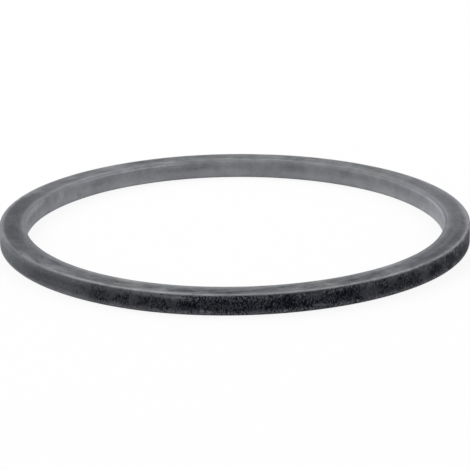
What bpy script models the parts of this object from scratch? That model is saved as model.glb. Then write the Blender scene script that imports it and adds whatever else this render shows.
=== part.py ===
# Compression seal: a one-piece ring of black rubber, clamped between a waste's flange and the tray or basin.
# It lies flat, its underside on z = 0 and its axis on Z.
# Run with: blender --background --python part.py

import math

import bmesh
import bpy

# Driving sizes in metres. The bore passes the waste's body, and the band is what its flange squeezes.
BORE_DIAMETER = 0.090
BAND_WIDTH = 0.0056
THICKNESS = 0.0043
OUTER_EDGE_RADIUS = 0.00045
BORE_EDGE_RADIUS = 0.00055

# How finely the round forms are divided
STEPS_AROUND = 144
STEPS_IN_EDGE = 4

# An edge's radius takes at most this share of the section's smaller side
MOST_EDGE_SHARE = 0.45

# Lines that meet at more than this angle stay crisp when the ring is shaded smooth
SHARP_ANGLE = math.radians(40)

RUBBER_COLOUR = (0.045, 0.046, 0.050, 1.0)
RUBBER_ROUGHNESS = 0.62


def clear_scene():
    for old in list(bpy.data.objects):
        bpy.data.objects.remove(old, do_unlink=True)


def edge_arc(corner_r, corner_z, inward_r, inward_z, radius, first_angle):
    """Points of the quarter circle that rounds one corner of the section, turning anticlockwise."""
    centre_r = corner_r + inward_r * radius
    centre_z = corner_z + inward_z * radius
    points = []
    for step in range(STEPS_IN_EDGE + 1):
        angle = first_angle + math.pi / 2 * step / STEPS_IN_EDGE
        r = centre_r + radius * math.cos(angle)
        z = centre_z + radius * math.sin(angle)
        points.append((r, z))
    return points


def seal_section():
    """The ring's section as (radius, height) points, a rectangle with its four edges rounded."""
    bore = BORE_DIAMETER / 2
    rim = bore + BAND_WIDTH
    most = MOST_EDGE_SHARE * min(BAND_WIDTH, THICKNESS)
    outer = min(OUTER_EDGE_RADIUS, most)
    inner = min(BORE_EDGE_RADIUS, most)
    section = edge_arc(rim, 0.0, -1, 1, outer, -math.pi / 2)
    section += edge_arc(rim, THICKNESS, -1, -1, outer, 0.0)
    section += edge_arc(bore, THICKNESS, 1, -1, inner, math.pi / 2)
    section += edge_arc(bore, 0.0, 1, 1, inner, math.pi)
    return section


def revolved(section):
    """A mesh of the closed section turned once round Z."""
    shape = bmesh.new()
    corners = [shape.verts.new((r, 0.0, z)) for r, z in section]
    lines = [shape.edges.new((a, b)) for a, b in zip(corners, corners[1:] + corners[:1])]
    bmesh.ops.spin(
        shape,
        geom=corners + lines,
        cent=(0.0, 0.0, 0.0),
        axis=(0.0, 0.0, 1.0),
        angle=2 * math.pi,
        steps=STEPS_AROUND,
        use_merge=True,
    )
    bmesh.ops.recalc_face_normals(shape, faces=shape.faces)
    mesh = bpy.data.meshes.new("seal_ring")
    shape.to_mesh(mesh)
    shape.free()
    mesh.shade_smooth()
    mesh.set_sharp_from_angle(angle=SHARP_ANGLE)
    return mesh


def rubber():
    material = bpy.data.materials.new("black_rubber")
    material.use_nodes = True
    shader = material.node_tree.nodes["Principled BSDF"]
    shader.inputs["Base Color"].default_value = RUBBER_COLOUR
    shader.inputs["Roughness"].default_value = RUBBER_ROUGHNESS
    shader.inputs["Metallic"].default_value = 0.0
    return material


def build_seal_ring():
    ring = bpy.data.objects.new("seal_ring", revolved(seal_section()))
    bpy.context.scene.collection.objects.link(ring)
    ring.data.materials.append(rubber())
    return ring


clear_scene()
build_seal_ring()
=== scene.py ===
import math

import bmesh
import bpy
from mathutils import Matrix, Quaternion, Vector, noise


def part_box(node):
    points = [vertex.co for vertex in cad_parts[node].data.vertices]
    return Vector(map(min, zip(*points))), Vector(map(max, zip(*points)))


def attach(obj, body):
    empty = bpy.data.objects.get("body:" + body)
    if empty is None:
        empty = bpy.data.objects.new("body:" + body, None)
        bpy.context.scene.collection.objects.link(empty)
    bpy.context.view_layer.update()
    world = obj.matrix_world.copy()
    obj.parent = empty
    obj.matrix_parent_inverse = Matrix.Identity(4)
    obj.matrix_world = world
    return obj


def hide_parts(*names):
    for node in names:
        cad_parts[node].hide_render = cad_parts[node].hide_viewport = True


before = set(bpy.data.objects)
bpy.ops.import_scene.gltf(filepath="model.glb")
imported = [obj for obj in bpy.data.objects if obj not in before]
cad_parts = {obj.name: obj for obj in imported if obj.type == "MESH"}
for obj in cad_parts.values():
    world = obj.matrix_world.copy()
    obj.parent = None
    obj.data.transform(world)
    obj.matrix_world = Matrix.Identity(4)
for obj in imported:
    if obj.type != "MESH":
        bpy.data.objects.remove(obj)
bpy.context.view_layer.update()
print("frame loaded")

# lengths are in metres here, and in millimetres inside the rubber's nodes
mm = 0.001
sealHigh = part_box("seal_ring")[1]  # its high corner: x is the rim's radius, z the top
rimRadius = sealHigh.x


def add(name, data):
    thing = bpy.data.objects.new(name, data)
    bpy.context.scene.collection.objects.link(thing)
    return thing


# camera

cameraSettings = {
    "lens": 170.5,  # mm
    "sensor": 36.0,  # mm
    "distance": 0.4822,
    "elevation": 17.93,  # degrees above the floor
    "roll": -0.58,  # degrees, the seal's right side stands a little higher in the frame
    "aim": (0.00006, 0.0, 0.00028),
    "clip": (0.01, 20.0),  # nearest and farthest distance shown
}


def placeCamera(settings):
    data = bpy.data.cameras.new("camera")
    data.sensor_width = settings["sensor"]
    data.lens = settings["lens"]
    data.clip_start, data.clip_end = settings["clip"]
    camera = add("camera", data)
    rise = math.radians(settings["elevation"])
    back = Vector((0.0, -math.cos(rise), math.sin(rise)))
    look = (-back).to_track_quat("-Z", "Y")
    turn = Quaternion((0.0, 0.0, 1.0), math.radians(settings["roll"]))
    camera.location = Vector(settings["aim"]) + back * settings["distance"]
    camera.rotation_mode = "QUATERNION"
    camera.rotation_quaternion = look @ turn
    bpy.context.scene.camera = camera


placeCamera(cameraSettings)
print("camera placed")


# small helpers for node trees


# adds nodes to one tree and gives back their outputs
class Nodes:
    def __init__(self, tree):
        self.tree = tree
        self.tree.nodes.clear()

    def add(self, kind, **settings):
        node = self.tree.nodes.new(kind)
        for name, value in settings.items():
            setattr(node, name, value)
        return node

    def feed(self, socket, value):
        if isinstance(value, bpy.types.NodeSocket):
            self.tree.links.new(value, socket)
        else:
            socket.default_value = value

    def calc(self, operation, first, second=0.0, third=0.0):
        node = self.add("ShaderNodeMath", operation=operation)
        for socket, value in zip(node.inputs, (first, second, third)):
            self.feed(socket, value)
        return node.outputs[0]

    def total(self, *values):
        result = values[0]
        for value in values[1:]:
            result = self.calc("ADD", result, value)
        return result

    def product(self, *values):
        result = values[0]
        for value in values[1:]:
            result = self.calc("MULTIPLY", result, value)
        return result

    def remap(self, value, fromLow, fromHigh, toLow=0.0, toHigh=1.0, smooth=True):
        # a smooth step stays in its range by itself, and leaving out its clamp saves room for more smears
        kind = "SMOOTHSTEP" if smooth else "LINEAR"
        node = self.add("ShaderNodeMapRange", interpolation_type=kind, clamp=not smooth)
        for socket, given in zip(node.inputs, (value, fromLow, fromHigh, toLow, toHigh)):
            self.feed(socket, given)
        return node.outputs[0]

    def band(self, value, centre, halfWidth):
        apart = self.calc("ABSOLUTE", self.calc("SUBTRACT", value, centre))
        return self.remap(apart, 0.0, halfWidth, 1.0, 0.0)

    def vector(self, operation, first, second=None, scale=None):
        node = self.add("ShaderNodeVectorMath", operation=operation)
        self.feed(node.inputs[0], first)
        if second is not None:
            self.feed(node.inputs[1], second)
        if scale is not None:
            self.feed(node.inputs["Scale"], scale)
        return node.outputs["Value" if operation == "LENGTH" else "Vector"]

    def noise(self, place, size, detail, roughness=0.5, distortion=0.0, output="Fac"):
        # from about 0 to 1, with features of about this size in the place's own units
        node = self.add("ShaderNodeTexNoise", noise_dimensions="3D")
        self.feed(node.inputs["Vector"], place)
        self.feed(node.inputs["Scale"], 1.0 / size)
        self.feed(node.inputs["Detail"], detail)
        self.feed(node.inputs["Roughness"], roughness)
        self.feed(node.inputs["Distortion"], distortion)
        return node.outputs[output]

    def split(self, value):
        node = self.add("ShaderNodeSeparateXYZ")
        self.feed(node.inputs[0], value)
        return node.outputs[0], node.outputs[1], node.outputs[2]

    def join(self, first, second):
        node = self.add("ShaderNodeCombineXYZ")
        self.feed(node.inputs[0], first)
        self.feed(node.inputs[1], second)
        return node.outputs[0]

    def mixColour(self, factor, first, second):
        # inputs 6 and 7 and output 2 are the colours
        node = self.add("ShaderNodeMix", data_type="RGBA", clamp_factor=False)
        self.feed(node.inputs["Factor"], factor)
        self.feed(node.inputs[6], first)
        self.feed(node.inputs[7], second)
        return node.outputs[2]


# the seal's mesh

ringSettings = {
    "boreRadius": 45.0 * mm,
    "boreEdge": 0.55 * mm,
    "outerEdge": 0.45 * mm,
    "edgeSegments": 5,
    "sectors": 12,
    "stepsInSector": 110,
    "cutsTop": 13,
    "cutsUnder": 5,
    "cutsBore": 11,
    "cutsOuter": 15,
    "weld": 0.001 * mm,  # points closer than this become one
}

# the small unevenness of soft moulded rubber
reliefSettings = {
    # size, depth and seed of each kind
    "wallWave": (7.0 * mm, 0.035 * mm, 1.0),
    "edgeNibble": (2.2 * mm, 0.05 * mm, 2.0),
    "outerGrain": (0.55 * mm, 0.022 * mm, 3.0),
    "faceWave": (5.0 * mm, 0.012 * mm, 4.0),
    "seedStep": (1.0, 2.3, 5.1),  # how far apart in the noise two seeds lie
    "grainUpright": 0.5,  # the grain's width over its height
    "faceSink": 0.5,  # share of its wave's depth that the whole face lies lower
    # how far in from each surface its unevenness fades out
    "wallFade": 0.15 * mm,
    "faceFade": 0.1 * mm,
    "floorFade": 0.5 * mm,
    "edgeFade": 0.6 * mm,
    # how far the ring strays from a true circle: waves in one turn, amount, where the wave peaks in degrees
    "stray": ((2, 0.06 * mm, 0.0), (3, 0.09 * mm, 11.0), (4, 0.075 * mm, -24.0), (5, 0.05 * mm, 32.0)),
    # where one side of it swells or shrinks: degrees round from the near side, half width in degrees,
    # amount outward
    "boreStray": ((-115.0, 26.0, -0.14 * mm), (-70.0, 36.0, -0.07 * mm), (117.0, 14.0, -0.10 * mm)),
    "rimStray": ((-86.0, 52.0, 0.06 * mm), (112.0, 26.0, 0.05 * mm)),
    "boreStrayReach": 2.5 * mm,  # how far across the face it is felt
    "rimStrayReach": 2.0 * mm,
}
tiny = 1e-7  # places closer than this are the same
nearSide = -90.0  # where the near side is, in degrees round from the right


def liesOn(edge, axis, value):
    return all(abs(vert.co[axis] - value) < tiny for vert in edge.verts)


def ringSection(shape, settings):
    # a closed line: a rectangle with its corners rounded and its sides divided
    bore, rim, top = settings["boreRadius"], rimRadius, sealHigh.z
    corners = [shape.verts.new((x, 0.0, z)) for x, z in ((bore, 0), (rim, 0), (rim, top), (bore, top))]
    shape.faces.new(corners)
    for wall, size in ((bore, "boreEdge"), (rim, "outerEdge")):
        bmesh.ops.bevel(
            shape,
            geom=[vert for vert in shape.verts if abs(vert.co.x - wall) < tiny],
            offset=settings[size],
            offset_type="OFFSET",
            segments=settings["edgeSegments"],
            profile=0.5,
            affect="VERTICES",
            material=-1,
        )
    sides = ((2, top, "cutsTop"), (2, 0.0, "cutsUnder"), (0, bore, "cutsBore"), (0, rim, "cutsOuter"))
    for axis, value, cuts in sides:
        straight = [edge for edge in shape.edges if liesOn(edge, axis, value)]
        bmesh.ops.subdivide_edges(shape, edges=straight, cuts=settings[cuts])
    bmesh.ops.delete(shape, geom=list(shape.faces), context="FACES_ONLY")


def turnSection(shape, settings):
    # one sector is spun, and copies of it are set all round, which is far quicker than one full spin
    sector = 2 * math.pi / settings["sectors"]
    bmesh.ops.spin(
        shape,
        geom=list(shape.verts) + list(shape.edges),
        cent=(0.0, 0.0, 0.0),
        axis=(0.0, 0.0, 1.0),
        angle=sector,
        steps=settings["stepsInSector"],
    )
    first = list(shape.verts) + list(shape.edges) + list(shape.faces)
    for count in range(1, settings["sectors"]):
        copied = bmesh.ops.duplicate(shape, geom=first)["geom"]
        verts = [part for part in copied if isinstance(part, bmesh.types.BMVert)]
        turn = Matrix.Rotation(sector * count, 3, "Z")
        bmesh.ops.rotate(shape, verts=verts, cent=(0.0, 0.0, 0.0), matrix=turn)
    bmesh.ops.remove_doubles(shape, verts=shape.verts, dist=settings["weld"])
    bmesh.ops.recalc_face_normals(shape, faces=shape.faces)


def smoothStep(value, start, end):
    share = min(max((value - start) / (end - start), 0.0), 1.0)
    return share * share * (3 - 2 * share)


def waveStray(angle, given):
    return sum(size * math.cos(waves * (angle - math.radians(peak))) for waves, size, peak in given)


def sideStray(angle, given):
    result = 0.0
    for degrees, halfWidth, amount in given:
        near = math.cos(angle - math.radians(degrees + nearSide))
        result += amount * smoothStep(near, math.cos(math.radians(halfWidth)), 1.0)
    return result


def strayAt(place, radius, settings):
    angle = math.atan2(place.y, place.x)
    bore = ringSettings["boreRadius"]
    nearBore = smoothStep(radius, bore + settings["boreStrayReach"], bore)
    nearRim = smoothStep(radius, rimRadius - settings["rimStrayReach"], rimRadius)
    stray = waveStray(angle, settings["stray"])
    stray += sideStray(angle, settings["boreStray"]) * nearBore
    stray += sideStray(angle, settings["rimStray"]) * nearRim
    return stray


def noiseAt(place, size, seed):
    return noise.noise(place / size + Vector([step * seed for step in reliefSettings["seedStep"]]))


def roughen(shape, settings):
    shape.normal_update()
    bore, top = ringSettings["boreRadius"], sealHigh.z
    wallFade, faceFade = settings["wallFade"], settings["faceFade"]
    truePlace = shape.verts.layers.float_vector.new("truePlace")
    moves = []
    for vert in shape.verts:
        place = vert.co.copy()
        vert[truePlace] = place / mm
        radius = math.hypot(place.x, place.y)
        outward = Vector((place.x / radius, place.y / radius, 0.0))
        onOuter = smoothStep(radius, rimRadius - wallFade, rimRadius)
        onBore = smoothStep(radius, bore + wallFade, bore)
        onTop = smoothStep(place.z, top - faceFade, top)
        offFloor = smoothStep(place.z, 0.0, settings["floorFade"])
        nearEdge = smoothStep(place.z, top - settings["edgeFade"], top - faceFade)
        nearEdge = nearEdge * (1 - onTop) * (1 - onBore)
        size, depth, seed = settings["wallWave"]
        swell = depth * noiseAt(place, size, seed) * (onOuter + onBore) * offFloor
        size, depth, seed = settings["edgeNibble"]
        swell -= depth * max(noiseAt(place, size, seed), 0.0) * nearEdge
        size, depth, seed = settings["outerGrain"]
        stretched = Vector((place.x, place.y, place.z * settings["grainUpright"]))
        swell += depth * noiseAt(stretched, size, seed) * onOuter * offFloor
        size, depth, seed = settings["faceWave"]
        swell += depth * (noiseAt(place, size, seed) - settings["faceSink"]) * onTop
        moves.append(vert.normal * swell + outward * strayAt(place, radius, settings))
    for vert, move in zip(shape.verts, moves):
        vert.co += move


def makeSealRing(settings):
    shape = bmesh.new()
    ringSection(shape, settings)
    turnSection(shape, settings)
    roughen(shape, reliefSettings)
    mesh = bpy.data.meshes.new("sealRing")
    shape.to_mesh(mesh)
    shape.free()
    mesh.shade_smooth()
    return add("sealRing", mesh)


# the seal's rubber: black, under a grey bloom that is thick in the bore and rubbed off most of the outer
# wall, with painted highlights along its edges and painted light low on its walls and on the bore's right
# side

rubberSettings = {
    "bare": (0.0009, 0.0014, 0.0056, 1.0),
    "bloomAndPaintedLight": ((0.2932, 0.3017, 0.3217, 1.0), (0.2959, 0.2990, 0.3202, 1.0)),  # its tint drifts between these
    "drift": (0.35, 0.65),  # the noise's values at which the tint is all one or all the other
    "warmer": (0.2895, 0.3010, 0.3085, 1.0),  # the bloom's tint on some stretches of the face
    "warmerLobes": ((178.0, 36.0, 1.0), (136.0, 13.0, 1.0), (-22.0, 15.0, 1.0), (20.0, 22.0, 0.8)),
    "roughness": (0.50, 0.65),  # bare and bloomed
    "roughFrom": 0.5,  # the bloom from which the roughness is the bloomed one
    "specular": 0.035,
    "speck": 0.12,
    "speckOnOuter": 0.4,  # share of the specks on the outer wall
    "bumpStrength": 0.5,
    "bumpDepth": 0.03 * mm,
    "bumpGrain": 0.6,  # shares of the grain and of the outer wall's strokes in the bump
    "bumpStrokes": 0.9,
}

# where each surface's look starts and is whole, in mm: out from the bore, in from the rim, down from the face
zoneSettings = {"bore": (0.45, 0.05), "outer": (0.30, 0.03), "top": (0.40, 0.12)}

# the kinds of unevenness, sizes in mm
patternSettings = {
    "smear": {"size": 1.0, "detail": 3.0, "roughness": 0.55},
    "patch": {"size": 9.0, "detail": 3.0},
    "cloud": {"size": 2.6, "detail": 4.0, "roughness": 0.6},
    "speck": {"size": 0.45, "detail": 2.0, "roughness": 0.6},
    "lean": {"size": 3.5, "detail": 1.0},
    "stroke": {"size": 0.22, "detail": 2.0, "roughness": 0.6, "distortion": 0.6},
    "streak": {"size": 1.6, "detail": 3.0, "roughness": 0.6},
    "bend": {"size": 2.2, "detail": 3.0, "output": "Color"},
    "ragged": {"size": 1.6, "detail": 3.0, "roughness": 0.6},
    "tint": {"size": 5.0, "detail": 1.0},
    "grain": {"size": 0.22, "detail": 3.0, "roughness": 0.6},
}
noiseRange = (0.3, 0.7)  # where nearly all of a noise's values lie
noiseMiddle = 0.5
drawnOut = {
    "smear": 9.0,  # made on a ring of this radius in mm, so it is drawn out along the real one
    "stroke": 0.45,  # an upright mark's width over its height
    "streak": 0.15,
}

# how much bloom each surface carries, 0 for none, and how much each kind of unevenness changes it
# lobes: degrees round from the near side, half width in degrees, amount
borePaintedLightAndBloomSettings = {
    "level": 0.82,
    # painted light: the bore is painted paler towards the floor, where its shade is deepest, and darker
    # towards the face
    "paintedLightLow": 0.22,
    "paintedLightLowRange": (0.6, 3.0),  # mm up
    "streaks": 0.05,
    "patches": 0.20,
    "clouds": 0.18,
    # the two lobes round 95 degrees are painted light: the bore is painted paler on the right, where it faces
    # the left lamp
    "lobes": ((98.0, 60.0, 0.14), (93.0, 24.0, 0.18), (-100.0, 50.0, 0.03), (185.0, 46.0, 0.04)),
}
faceBloomSettings = {
    "level": 0.485,
    "smears": 0.24,
    "patches": 0.16,
    "clouds": 0.26,
    "lobes": (
        (175.0, 95.0, 0.12),
        (-85.0, 34.0, -0.12),
        (-38.0, 30.0, 0.06),
        (135.0, 40.0, 0.04),
        (60.0, 26.0, -0.05),
        (100.0, 26.0, 0.04),
    ),
    "calm": ((90.0, 60.0, -0.7), (-92.0, 60.0, -0.85)),
    "boreBand": 0.22,
    "boreBandRange": (2.2, 0.6),  # mm out from the bore
    "boreBandLobes": ((165.0, 60.0, -0.45), (-93.0, 27.0, -0.75)),
}
# the outer wall's amounts are shares of full brightness as the eye takes them: a thin haze, worn off in
# patches to black rubber with fine strokes
outerPaintedLightAndBloomSettings = {
    "haze": 0.258,
    "hazeClouds": 0.05,
    "hazeGrain": 0.05,
    "hazeLobes": ((-90.0, 40.0, 0.11), (-90.0, 75.0, 0.10), (90.0, 24.0, 0.08), (180.0, 80.0, 0.03)),
    "worn": 0.50,
    "wornClouds": 0.9,
    "wornLobes": ((-90.0, 68.0, -1.1), (8.0, 36.0, 0.25), (62.0, 20.0, 0.12), (-19.0, 14.0, -0.30)),
    "strokes": (-0.10, 0.32),
    "strokesRange": (0.30, 0.66),  # the noise's values that give them
    "deeper": 0.10,  # how much darker the most worn places are
    "deeperRange": (0.9, 1.7),  # the wear from which that starts and is whole
    "slant": 0.9,
    "upperHaze": 0.08,
    "upperHazeRange": (1.7, 0.3),  # mm down from the face
    # painted light: the outer wall is painted paler towards the floor, against the shade at its foot
    "paintedFootLight": 0.18,
    "paintedFootLightRange": (1.5, 0.2),  # mm up
    # from the eye's even steps to an amount of bloom
    "eyePower": 2.2,
    "eyeScale": 3.0,
    "bareShare": 0.012,  # what bare rubber shows by itself
}
# painted highlights along the rounded outer and bore edges, and a paler line on the face beside the bore,
# each at a distance in from its wall or face and with a half width, in mm
highlightAndLineSettings = {
    "ragged": (0.6, 1.2),  # least and most of each line
    "outer": 0.44,
    "outerPlace": (0.42, 0.60),
    "outerMore": (
        (-74.0, 34.0, -0.55),
        (97.0, 23.0, -0.45),
        (-22.0, 24.0, 0.30),
        (18.0, 26.0, -0.15),
        (40.0, 9.0, 0.35),
        (54.0, 8.0, -0.15),
        (72.0, 18.0, -0.08),
    ),
    "bore": 0.13,
    "borePlace": (0.38, 0.34),
    "boreMore": ((100.0, 26.0, 1.3), (-148.0, 24.0, 2.2), (-105.0, 26.0, -1.0), (160.0, 12.0, -0.7)),
    "face": 0.08,
    "facePlace": (0.85, 0.30),
    "faceMore": ((96.0, 30.0, 0.4), (-90.0, 34.0, -0.9)),
    "gap": ((96.0, 15.0, -0.16),),  # a darker line, on one stretch only
    "gapPlace": (0.45, 0.24),
}

smearSettings = {
    "bendAlong": 5.0,  # how far a smear's outline is bent, in mm
    "bendAcross": 1.4,
    "edge": (0.02, 0.85),  # squared shares of its half size at which it starts to fade and is gone
    "twinFrom": 150.0,  # degrees past which a smear may reach over the far side
}
# smears: degrees from the near side (right is plus), mm from the axis or up, half length and width in mm,
# tilt in degrees, how much more bloom there is, or less where it is below 0
faceSmears = (
    (100.0, 45.2, 15.0, 1.2, 0.0, 0.06),
    (97.0, 48.0, 12.0, 1.6, 0.0, -0.04),
    (92.0, 50.5, 17.0, 1.6, 0.0, 0.23),
    (113.0, 49.6, 10.0, 1.1, 0.0, 0.15),
    (94.0, 49.5, 13.0, 0.6, 0.0, 0.10),
    (86.0, 49.1, 7.0, 0.8, 0.0, -0.06),
    (72.0, 48.8, 8.0, 1.3, 0.0, -0.13),
    (60.0, 48.7, 7.5, 1.2, 0.0, -0.10),
    (52.0, 48.7, 6.0, 1.3, 0.0, -0.09),
    (73.0, 46.7, 9.0, 0.8, 0.0, -0.07),
    (55.0, 45.9, 9.0, 0.6, 0.0, 0.07),
    (42.0, 46.0, 5.5, 1.1, 0.0, 0.30),
    (41.0, 48.6, 3.0, 2.2, 0.0, 0.15),
    (40.5, 50.0, 3.0, 0.9, 0.0, 0.18),
    (51.0, 50.2, 3.5, 0.7, 0.0, -0.14),
    (34.5, 48.0, 1.8, 1.3, 0.0, -0.10),
    (28.5, 48.2, 3.6, 1.1, 0.0, -0.15),
    (22.5, 48.2, 2.2, 1.2, 45.0, 0.16),
    (18.5, 48.6, 1.3, 0.8, 0.0, -0.16),
    (14.5, 49.2, 2.6, 1.3, 0.0, 0.14),
    (9.5, 48.4, 2.4, 1.0, 0.0, -0.15),
    (2.0, 48.2, 2.6, 1.2, 0.0, -0.10),
    (-4.0, 48.3, 3.8, 1.2, 0.0, -0.24),
    (-6.2, 48.6, 0.4, 1.3, 0.0, 0.14),
    (-12.0, 48.3, 3.8, 1.3, 0.0, -0.28),
    (-17.2, 48.5, 1.0, 2.0, 0.0, 0.10),
    (-15.0, 46.0, 26.0, 0.8, 0.0, 0.12),
    (-24.0, 46.3, 9.0, 0.9, 0.0, 0.10),
    (-20.0, 48.0, 1.3, 0.8, 0.0, -0.14),
    (-18.5, 49.6, 6.5, 1.4, 0.0, 0.22),
    (-24.5, 47.6, 2.2, 1.8, 0.0, 0.14),
    (-29.5, 47.6, 1.6, 0.6, 10.0, -0.16),
    (-34.0, 49.3, 1.0, 0.4, 0.0, -0.20),
    (-34.5, 50.3, 3.0, 0.5, 0.0, 0.14),
    (-39.5, 48.3, 1.8, 1.0, 0.0, -0.12),
    (-48.0, 48.7, 4.5, 1.5, 0.0, 0.14),
    (-50.5, 49.4, 4.5, 0.7, 0.0, 0.10),
    (-52.0, 46.9, 4.0, 0.4, 2.0, -0.16),
    (-54.5, 49.4, 2.2, 0.35, 14.0, -0.14),
    (-57.5, 47.2, 2.5, 0.4, 14.0, -0.10),
    (-59.5, 49.7, 6.0, 0.8, 6.0, 0.20),
    (-67.0, 46.9, 7.0, 0.4, 4.0, 0.06),
    (-78.0, 47.9, 10.0, 2.3, 0.0, -0.13),
    (-102.0, 47.9, 12.0, 2.3, 0.0, -0.09),
    (-94.0, 45.4, 24.0, 1.1, 0.0, 0.25),
    (-91.0, 50.3, 26.0, 1.1, 0.0, 0.27),
    (-114.0, 49.6, 6.0, 1.3, 0.0, 0.22),
    (-115.0, 48.2, 2.4, 2.2, 0.0, 0.12),
    (-126.0, 47.8, 2.6, 1.3, 0.0, -0.08),
    (-130.0, 46.9, 5.0, 1.2, 0.0, -0.10),
    (-132.0, 48.8, 2.2, 1.0, 0.0, -0.12),
    (-141.0, 49.0, 4.0, 1.3, 0.0, 0.10),
    (-140.0, 46.8, 2.0, 0.9, 0.0, -0.10),
    (-145.0, 48.0, 2.4, 2.0, 0.0, 0.10),
    (-154.0, 48.5, 6.0, 1.1, 0.0, -0.12),
    (174.0, 47.3, 6.0, 1.6, 0.0, -0.12),
    (167.0, 48.5, 2.5, 1.5, 0.0, 0.08),
    (162.5, 47.2, 1.6, 0.8, 0.0, -0.10),
    (152.0, 48.0, 5.0, 1.6, 0.0, 0.04),
    (141.0, 48.4, 5.0, 0.9, 8.0, -0.13),
    (127.0, 49.0, 3.0, 1.4, 0.0, 0.10),
    (120.0, 47.3, 5.0, 0.9, 6.0, -0.10),
)
# where the outer wall's haze is worn off, or is whole where the amount is below 0
wornSmears = (
    (-31.0, 3.0, 1.6, 0.7, 0.0, 0.3),
    (-26.5, 2.2, 1.6, 0.9, 0.0, 0.35),
    (-23.2, 2.2, 1.3, 1.6, 0.0, -0.6),
    (-19.5, 2.5, 1.3, 0.8, 0.0, 0.5),
    (-21.5, 3.8, 3.0, 0.7, 0.0, -0.7),
    (-14.5, 3.6, 4.0, 0.5, 0.0, -0.8),
    (-15.5, 1.5, 1.6, 0.5, 0.0, 0.4),
    (-10.8, 2.0, 2.3, 1.0, 0.0, 0.9),
    (-6.8, 1.0, 1.2, 0.5, 0.0, -0.9),
    (-2.5, 1.9, 3.2, 1.0, 0.0, -0.35),
    (3.0, 2.0, 1.8, 1.0, 0.0, 0.5),
    (7.0, 2.0, 2.5, 1.2, 0.0, 0.6),
    (11.5, 2.4, 3.0, 1.5, 0.0, 0.8),
    (16.0, 1.8, 1.6, 1.2, 0.0, 0.4),
    (19.5, 1.2, 2.2, 0.5, 0.0, -0.8),
    (18.5, 3.0, 1.5, 1.0, 0.0, -0.3),
    (26.0, 2.6, 3.0, 1.4, 0.0, 0.8),
    (32.0, 2.2, 2.4, 2.0, 0.0, -0.9),
    (35.2, 2.6, 0.5, 0.4, 0.0, 0.9),
    (37.5, 3.0, 1.6, 1.0, 0.0, -0.3),
    (41.0, 3.2, 0.8, 0.7, 0.0, 0.7),
    (44.0, 1.8, 2.4, 0.8, 0.0, 0.6),
    (48.8, 2.3, 1.5, 1.8, 0.0, -0.8),
    (52.5, 1.9, 1.8, 0.7, -10.0, 1.5),
    (54.8, 2.3, 2.2, 1.1, -12.0, 1.2),
    (58.3, 2.0, 1.0, 1.5, 0.0, -0.6),
    (61.2, 0.9, 1.8, 0.8, 0.0, 1.2),
    (61.5, 3.2, 3.6, 0.8, -12.0, 1.0),
    (63.0, 2.0, 2.2, 0.8, -12.0, 1.0),
    (65.3, 2.4, 2.0, 0.7, -12.0, -1.0),
    (68.3, 2.0, 2.4, 0.9, -12.0, 2.3),
    (72.5, 1.7, 2.6, 0.9, -12.0, 1.9),
    (75.0, 1.4, 2.5, 0.8, 0.0, 0.9),
)
# where that haze is paler, or darker where the amount is below 0
hazeSmears = (
    (-88.0, 2.5, 8.0, 3.5, 0.0, 0.06),
    (-69.0, 4.1, 9.0, 0.6, 0.0, -0.06),
    (-66.0, 0.8, 16.0, 0.7, 0.0, -0.07),
    (-54.0, 4.3, 8.0, 0.6, 0.0, 0.04),
    (-43.0, 1.5, 10.0, 1.4, 0.0, 0.035),
    (-19.0, 3.9, 7.0, 0.8, 0.0, 0.07),
    (-11.5, 3.4, 3.2, 0.7, 0.0, 0.08),
    (-6.8, 1.0, 1.3, 0.5, 0.0, 0.10),
    (12.0, 4.1, 8.0, 0.6, 0.0, 0.05),
    (19.5, 1.1, 2.5, 0.5, 0.0, 0.05),
    (54.5, 0.7, 3.2, 0.4, -6.0, 0.12),
    (62.0, 3.8, 18.0, 1.0, 0.0, 0.07),
    (84.0, 3.0, 6.0, 2.4, 0.0, 0.08),
    (68.0, 4.3, 20.0, 0.9, 0.0, 0.12),
    (84.0, 1.4, 6.5, 2.2, 0.0, 0.10),
)
# paler and darker smears in the bore
boreSmears = (
    (-99.0, 3.7, 12.0, 1.0, 0.0, 0.24),
    (-98.0, 2.3, 6.0, 0.6, 4.0, -0.06),
    (-119.0, 2.5, 2.2, 1.8, 0.0, 0.12),
    (-128.0, 1.3, 2.0, 0.9, 20.0, -0.16),
    (-136.0, 2.7, 8.0, 1.0, 3.0, -0.05),
    (-150.0, 0.4, 14.0, 0.8, 0.0, 0.15),
    (-163.0, 2.6, 9.0, 1.0, 0.0, -0.09),
    (-175.0, 2.6, 9.0, 0.9, 0.0, -0.08),
    (162.0, 2.7, 6.0, 1.3, 0.0, -0.09),
    (142.0, 2.8, 8.0, 1.0, 0.0, -0.07),
    (124.0, 2.7, 10.0, 1.0, 0.0, -0.04),
    (125.0, 0.6, 16.0, 0.6, 0.0, 0.05),
    (104.0, 1.1, 4.0, 0.8, 0.0, 0.10),
)


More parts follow.
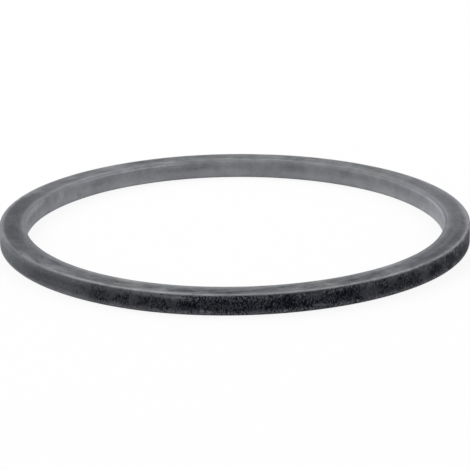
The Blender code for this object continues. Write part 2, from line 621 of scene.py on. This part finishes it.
# nodes that know where each point is on the true ring, in mm
class RingNodes(Nodes):
    def __init__(self, tree):
        super().__init__(tree)
        self.bore, self.rim, self.top = ringSettings["boreRadius"] / mm, rimRadius / mm, sealHigh.z / mm
        self.place = self.add("ShaderNodeAttribute", attribute_name="truePlace").outputs["Vector"]
        east, north, self.height = self.split(self.place)
        flat = self.vector("MULTIPLY", self.place, (1.0, 1.0, 0.0))
        self.radius = self.vector("LENGTH", flat)
        self.direction = self.vector("NORMALIZE", flat)
        # how far round from the near side, along the middle of the face
        self.middle = (self.bore + self.rim) / 2
        self.along = self.product(self.calc("ARCTAN2", east, self.product(north, -1.0)), self.middle)
        self.directionEast, self.directionNorth = self.split(self.direction)[:2]
        self.findZones(zoneSettings)
        self.makePatterns()

    def findZones(self, zones):
        self.onBore = self.remap(self.radius, *(self.bore + inset for inset in zones["bore"]))
        self.onOuter = self.remap(self.radius, *(self.rim - inset for inset in zones["outer"]))
        self.onTop = self.remap(self.height, *(self.top - inset for inset in zones["top"]))
        self.onFace = self.calc("SUBTRACT", 1.0, self.total(self.onBore, self.onOuter))

    # smears that follow the ring, patches and clouds that don't, and upright marks on the walls
    def makePatterns(self):
        turned = self.vector("SCALE", self.direction, scale=drawnOut["smear"])
        self.smear = self.pattern("smear", self.vector("ADD", turned, self.join(self.radius, self.height)))
        self.patch = self.pattern("patch")
        self.cloud = self.pattern("cloud")
        self.speck = self.pattern("speck")
        lean = self.vary(self.pattern("lean"), outerPaintedLightAndBloomSettings["slant"])
        lean = self.product(self.calc("SUBTRACT", self.height, self.top / 2), lean)
        sideways = self.vector("CROSS_PRODUCT", (0.0, 0.0, 1.0), self.direction)
        leaning = self.vector("ADD", self.place, self.vector("SCALE", sideways, scale=lean))
        self.stroke = self.pattern("stroke", self.upright(leaning, drawnOut["stroke"]))
        self.streak = self.pattern("streak", self.upright(self.place, drawnOut["streak"]))
        bendAlong, self.bendAcross = self.split(self.pattern("bend"))[:2]
        bendAlong = self.calc("SUBTRACT", bendAlong, noiseMiddle)
        self.spotAlong = self.calc("MULTIPLY_ADD", bendAlong, smearSettings["bendAlong"], self.along)

    def pattern(self, kind, place=None):
        return self.noise(self.place if place is None else place, **patternSettings[kind])

    def upright(self, place, share):
        return self.vector("MULTIPLY", place, (1.0, 1.0, share))

    def vary(self, value, amount):
        return self.remap(value, *noiseRange, -amount / 2, amount / 2, smooth=False)

    def lobes(self, given):
        result = 0.0
        for degrees, halfWidth, amount in given:
            turn = math.radians(degrees)
            near = self.product(self.directionNorth, -math.cos(turn))
            near = self.calc("MULTIPLY_ADD", self.directionEast, math.sin(turn), near)
            lobe = self.remap(near, math.cos(math.radians(halfWidth)), 1.0, 0.0, amount)
            result = self.total(result, lobe)
        return result

    def smears(self, given, across, bend=smearSettings["bendAcross"]):
        spotAcross = self.calc("SUBTRACT", self.bendAcross, noiseMiddle)
        spotAcross = self.calc("MULTIPLY_ADD", spotAcross, bend, across)
        result = 0.0
        for degrees, centre, halfLong, halfWide, tilt, amount in withTwins(given):
            start, turn = math.radians(degrees) * self.middle, math.radians(tilt)
            level, slope = math.cos(turn), math.sin(turn)
            # how far off the smear's centre, as a share of its half length and of its half width
            offset = -(start * level + centre * slope) / halfLong
            lengthwise = self.calc("MULTIPLY_ADD", self.spotAlong, level / halfLong, offset)
            offset = (start * slope - centre * level) / halfWide
            crosswise = self.calc("MULTIPLY_ADD", spotAcross, level / halfWide, offset)
            if tilt:
                lengthwise = self.calc("MULTIPLY_ADD", spotAcross, slope / halfLong, lengthwise)
                crosswise = self.calc("MULTIPLY_ADD", self.spotAlong, -slope / halfWide, crosswise)
            lengthwise = self.product(lengthwise, lengthwise)
            away = self.calc("MULTIPLY_ADD", crosswise, crosswise, lengthwise)
            result = self.total(result, self.remap(away, *smearSettings["edge"], amount, 0.0))
        return result


# what lies near the far side, where the way round is cut, is repeated beyond the cut
def withTwins(given):
    far = [smear for smear in given if abs(smear[0]) > smearSettings["twinFrom"]]
    return list(given) + [(smear[0] - math.copysign(360.0, smear[0]),) + smear[1:] for smear in far]


# the bore's bloom, with painted light low in it and on its right side
def borePaintedLightAndBloom(nodes, given):
    rise = given["paintedLightLow"] / 2
    return nodes.total(
        given["level"],
        # painted light: paler towards the floor, darker towards the face
        nodes.remap(nodes.height, *given["paintedLightLowRange"], rise, -rise),
        nodes.vary(nodes.streak, given["streaks"]),
        nodes.vary(nodes.patch, given["patches"]),
        nodes.vary(nodes.cloud, given["clouds"]),
        # among these lobes, painted light on the bore's right side
        nodes.lobes(given["lobes"]),
        nodes.smears(boreSmears, nodes.height),
    )


def faceBloom(nodes, given):
    unrest = nodes.total(1.0, nodes.lobes(given["calm"]))
    smears = nodes.vary(nodes.smear, given["smears"])
    clouds = nodes.vary(nodes.cloud, given["clouds"])
    bandStart, bandFull = (nodes.bore + inset for inset in given["boreBandRange"])
    return nodes.total(
        given["level"],
        nodes.product(unrest, nodes.total(smears, clouds)),
        nodes.vary(nodes.patch, given["patches"]),
        nodes.lobes(given["lobes"]),
        nodes.product(
            nodes.total(1.0, nodes.lobes(given["boreBandLobes"])),
            nodes.remap(nodes.radius, bandStart, bandFull, 0.0, given["boreBand"]),
        ),
        nodes.smears(faceSmears, nodes.radius, nodes.product(unrest, smearSettings["bendAcross"])),
    )


# the outer wall's bloom, with painted light at its foot
def outerPaintedLightAndBloom(nodes, given):
    worn = nodes.total(
        given["worn"],
        nodes.vary(nodes.cloud, given["wornClouds"]),
        nodes.lobes(given["wornLobes"]),
        nodes.smears(wornSmears, nodes.height),
    )
    haze = nodes.total(
        given["haze"],
        nodes.vary(nodes.patch, given["hazeClouds"]),
        nodes.vary(nodes.speck, given["hazeGrain"]),
        nodes.lobes(given["hazeLobes"]),
        nodes.smears(hazeSmears, nodes.height),
    )
    strokes = nodes.remap(nodes.stroke, *given["strokesRange"], *given["strokes"])
    upperStart, upperFull = (nodes.top - inset for inset in given["upperHazeRange"])
    shade = nodes.total(
        haze,
        nodes.product(nodes.remap(worn, 0.0, 1.0), nodes.calc("SUBTRACT", strokes, haze)),
        nodes.remap(worn, *given["deeperRange"], 0.0, -given["deeper"]),
        nodes.remap(nodes.height, upperStart, upperFull, 0.0, given["upperHaze"]),
        # painted light, paler towards the floor
        nodes.remap(nodes.height, *given["paintedFootLightRange"], 0.0, given["paintedFootLight"]),
    )
    shade = nodes.calc("POWER", nodes.calc("MAXIMUM", shade, 0.0), given["eyePower"])
    bloomAndPaintedLight = nodes.calc("SUBTRACT", nodes.product(shade, given["eyeScale"]), given["bareShare"])
    return nodes.calc("MAXIMUM", bloomAndPaintedLight, 0.0)


# painted highlights along the rounded outer and bore edges, and a pale line on the face beside the bore
def edgeHighlightsAndLines(nodes, given):
    ragged = nodes.remap(nodes.pattern("ragged"), *noiseRange, *given["ragged"])

    def line(name, across, start, sign):
        inset, halfWidth = given[name + "Place"]
        return nodes.band(across, start + sign * inset, halfWidth)

    def strength(name):
        more = nodes.total(1.0, nodes.lobes(given[name + "More"]))
        return nodes.product(ragged, more, given[name])

    return (
        nodes.product(line("outer", nodes.radius, nodes.rim, -1), nodes.onTop, strength("outer")),
        nodes.product(line("bore", nodes.height, nodes.top, -1), nodes.onBore, strength("bore")),
        nodes.product(line("face", nodes.radius, nodes.bore, 1), nodes.onTop, strength("face")),
        nodes.product(line("gap", nodes.radius, nodes.bore, 1), nodes.onTop, nodes.lobes(given["gap"])),
    )


def rubberMaterial(settings):
    material = bpy.data.materials.new("rubberWithBloomAndPaintedLight")
    material.use_nodes = True
    nodes = RingNodes(material.node_tree)
    speckShare = nodes.remap(nodes.onOuter, 0.0, 1.0, 1.0, settings["speckOnOuter"])
    # the bloom, together with the painted highlights and the painted light
    bloomAndPaintedLight = nodes.total(
        nodes.product(borePaintedLightAndBloom(nodes, borePaintedLightAndBloomSettings), nodes.onBore),
        nodes.product(faceBloom(nodes, faceBloomSettings), nodes.onFace),
        nodes.product(outerPaintedLightAndBloom(nodes, outerPaintedLightAndBloomSettings), nodes.onOuter),
        # painted highlights along the edges
        *edgeHighlightsAndLines(nodes, highlightAndLineSettings),
        nodes.product(nodes.vary(nodes.speck, settings["speck"]), speckShare),
    )
    bloomAndPaintedLight = nodes.calc("MAXIMUM", bloomAndPaintedLight, 0.0)
    tint = nodes.mixColour(nodes.remap(nodes.pattern("tint"), *settings["drift"]), *settings["bloomAndPaintedLight"])
    warmer = nodes.product(nodes.onFace, nodes.lobes(settings["warmerLobes"]))
    tint = nodes.mixColour(warmer, tint, settings["warmer"])

    shader = nodes.add("ShaderNodeBsdfPrincipled")
    nodes.feed(shader.inputs["Base Color"], nodes.mixColour(bloomAndPaintedLight, settings["bare"], tint))
    roughness = nodes.remap(bloomAndPaintedLight, 0.0, settings["roughFrom"], *settings["roughness"], smooth=False)
    nodes.feed(shader.inputs["Roughness"], roughness)
    shader.inputs["Specular IOR Level"].default_value = settings["specular"]
    bump = nodes.add("ShaderNodeBump")
    bump.inputs["Strength"].default_value = settings["bumpStrength"]
    bump.inputs["Distance"].default_value = settings["bumpDepth"]
    grain = nodes.product(nodes.pattern("grain"), settings["bumpGrain"])
    grain = nodes.total(grain, nodes.product(nodes.stroke, nodes.onOuter, settings["bumpStrokes"]))
    nodes.feed(bump.inputs["Height"], grain)
    nodes.feed(shader.inputs["Normal"], bump.outputs[0])
    out = nodes.add("ShaderNodeOutputMaterial")
    nodes.feed(out.inputs["Surface"], shader.outputs[0])
    return material


sealRing = makeSealRing(ringSettings)
sealRing.data.materials.append(rubberMaterial(rubberSettings))
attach(sealRing, "root")
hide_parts("seal_ring")
print("seal ring made:", len(sealRing.data.polygons), "faces")


# floor, world and lights

studioSettings = {
    "floorSize": 6.0,
    "floorColour": 0.95,
    "floorGap": 0.02 * mm,  # the floor lies this far under the seal
    "floorGlow": 0.86,  # share of the floor's white that no shadow takes away
    "worldLight": 0.62,
    "lights": (
        # name, place, size, power
        ("softLeft", (-0.9, 0.5, 1.1), 1.0, 9.0),
        ("softRight", (1.0, 0.1, 1.2), 1.0, 5.0),
    ),
}


def seenDirectly(nodes):
    # 1 for what the camera sees, straight or in gloss or glass, and 0 for the light that falls on things
    path = nodes.add("ShaderNodeLightPath")
    seen = nodes.calc("MAXIMUM", path.outputs["Is Camera Ray"], path.outputs["Is Glossy Ray"])
    return nodes.calc("MAXIMUM", seen, path.outputs["Is Transmission Ray"])


def makeFloor(settings):
    shape = bmesh.new()
    bmesh.ops.create_grid(shape, x_segments=1, y_segments=1, size=settings["floorSize"] / 2)
    mesh = bpy.data.meshes.new("floor")
    shape.to_mesh(mesh)
    shape.free()
    floor = add("floor", mesh)
    floor.location.z = -settings["floorGap"]
    material = bpy.data.materials.new("paleFloor")
    material.use_nodes = True
    nodes = Nodes(material.node_tree)
    matt = nodes.add("ShaderNodeBsdfDiffuse")
    matt.inputs["Color"].default_value = (settings["floorColour"],) * 3 + (1.0,)
    glow = nodes.add("ShaderNodeEmission")
    share = nodes.add("ShaderNodeMixShader")
    nodes.feed(share.inputs[0], nodes.product(seenDirectly(nodes), settings["floorGlow"]))
    nodes.feed(share.inputs[1], matt.outputs[0])
    nodes.feed(share.inputs[2], glow.outputs[0])
    out = nodes.add("ShaderNodeOutputMaterial")
    nodes.feed(out.inputs["Surface"], share.outputs[0])
    mesh.materials.append(material)


def makeWorld(settings):
    world = bpy.data.worlds.new("studio")
    world.use_nodes = True
    nodes = Nodes(world.node_tree)
    light = nodes.add("ShaderNodeBackground")
    strength = nodes.remap(seenDirectly(nodes), 0.0, 1.0, settings["worldLight"], 1.0, smooth=False)
    nodes.feed(light.inputs["Strength"], strength)
    out = nodes.add("ShaderNodeOutputWorld")
    nodes.feed(out.inputs["Surface"], light.outputs[0])
    light.inputs["Color"].default_value = (1.0, 1.0, 1.0, 1.0)
    bpy.context.scene.world = world


def makeLights(settings):
    for name, place, size, power in settings["lights"]:
        data = bpy.data.lights.new(name, "AREA")
        data.size = size
        data.energy = power
        light = add(name, data)
        light.location = place
        light.rotation_mode = "QUATERNION"
        light.rotation_quaternion = (-Vector(place)).to_track_quat("-Z", "Y")


makeFloor(studioSettings)
makeWorld(studioSettings)
makeLights(studioSettings)
bpy.context.scene.view_settings.view_transform = "Standard"
print("studio set")
